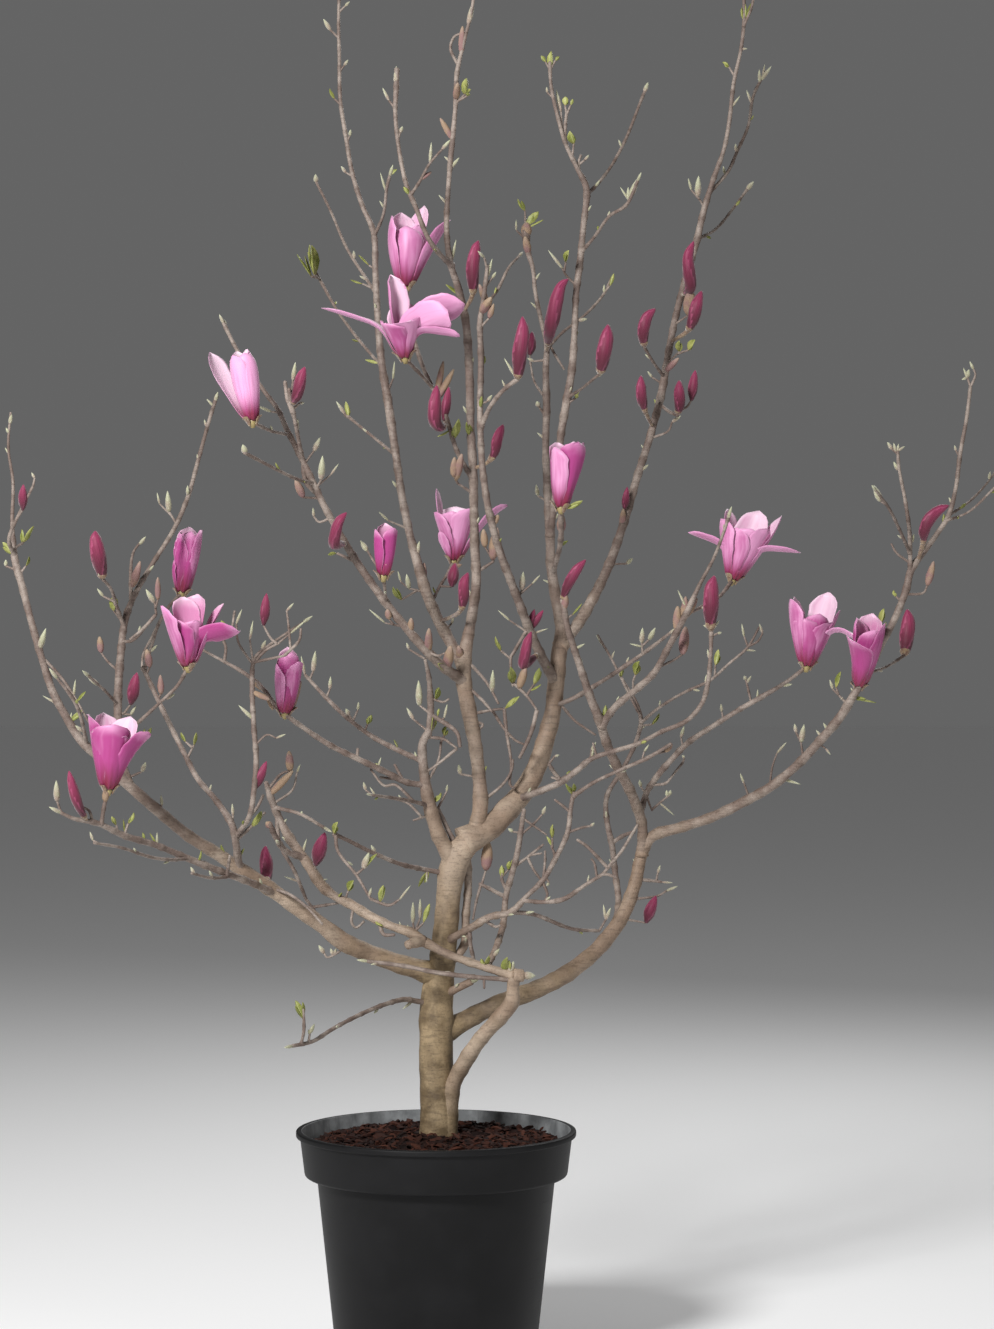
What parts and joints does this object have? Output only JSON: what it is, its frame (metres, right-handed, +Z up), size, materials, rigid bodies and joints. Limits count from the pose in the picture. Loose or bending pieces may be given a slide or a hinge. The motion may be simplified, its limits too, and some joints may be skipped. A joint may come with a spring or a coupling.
{
  "type": "potted lily magnolia",
  "caption": "Young multi-stemmed lily magnolia in pink-purple bloom, leafless, rooted in bark compost in a round nursery pot.",
  "frame": {"origin": "centre of the pot's underside, on the surface it stands on", "axes": "+Z up, along the trunk; the fan of limbs spreads along X; -Y faces the viewer"},
  "size_m": [1.2328, 0.6217, 1.7822],
  "materials": {
    "pot_plastic": "satin black",
    "compost": "rough shredded bark",
    "old_bark": "rough tan bark",
    "twig_bark": "matte grey-brown young bark",
    "petal": "soft satin petal",
    "bud": "soft satin closed petal and downy scale"
  },
  "bodies": {
    "root": {"pot": "pot_plastic", "soil": "compost", "trunk": "old_bark", "low_twig": "twig_bark", "low_stem": "old_bark", "left_limb": "old_bark", "left_leader": "twig_bark", "left_low": "twig_bark", "left_inner": "twig_bark", "left_fork": "twig_bark", "left_thin": "twig_bark", "center_leader": "twig_bark", "left_tall": "twig_bark", "left_slant": "twig_bark", "right_leader": "twig_bark", "right_twin": "twig_bark", "mid_riser": "twig_bark", "right_tall": "twig_bark", "right_limb": "old_bark", "right_cross": "twig_bark", "right_low_riser": "twig_bark", "right_back": "twig_bark", "right_mid": "twig_bark", "inner_riser": "twig_bark", "side_spray": "twig_bark", "flower_a": "petal", "flower_b": "petal", "flower_c": "petal", "flower_d": "petal", "flower_e": "petal", "flower_f": "petal", "flower_g": "petal", "flower_h": "petal", "flower_i": "petal", "flower_j": "petal", "flower_k": "petal", "flower_l": "petal", "flower_m": "petal", "bud_01": "bud", "bud_02": "bud", "bud_03": "bud", "bud_04": "bud", "bud_05": "bud", "bud_06": "bud", "bud_07": "bud", "bud_08": "bud", "bud_09": "bud", "bud_10": "bud", "bud_11": "bud", "bud_12": "bud", "bud_13": "bud", "bud_14": "bud", "bud_15": "bud", "bud_16": "bud", "bud_17": "bud", "bud_18": "bud", "bud_19": "bud", "bud_20": "bud", "bud_21": "bud", "bud_22": "bud"}
  },
  "joints": []
}
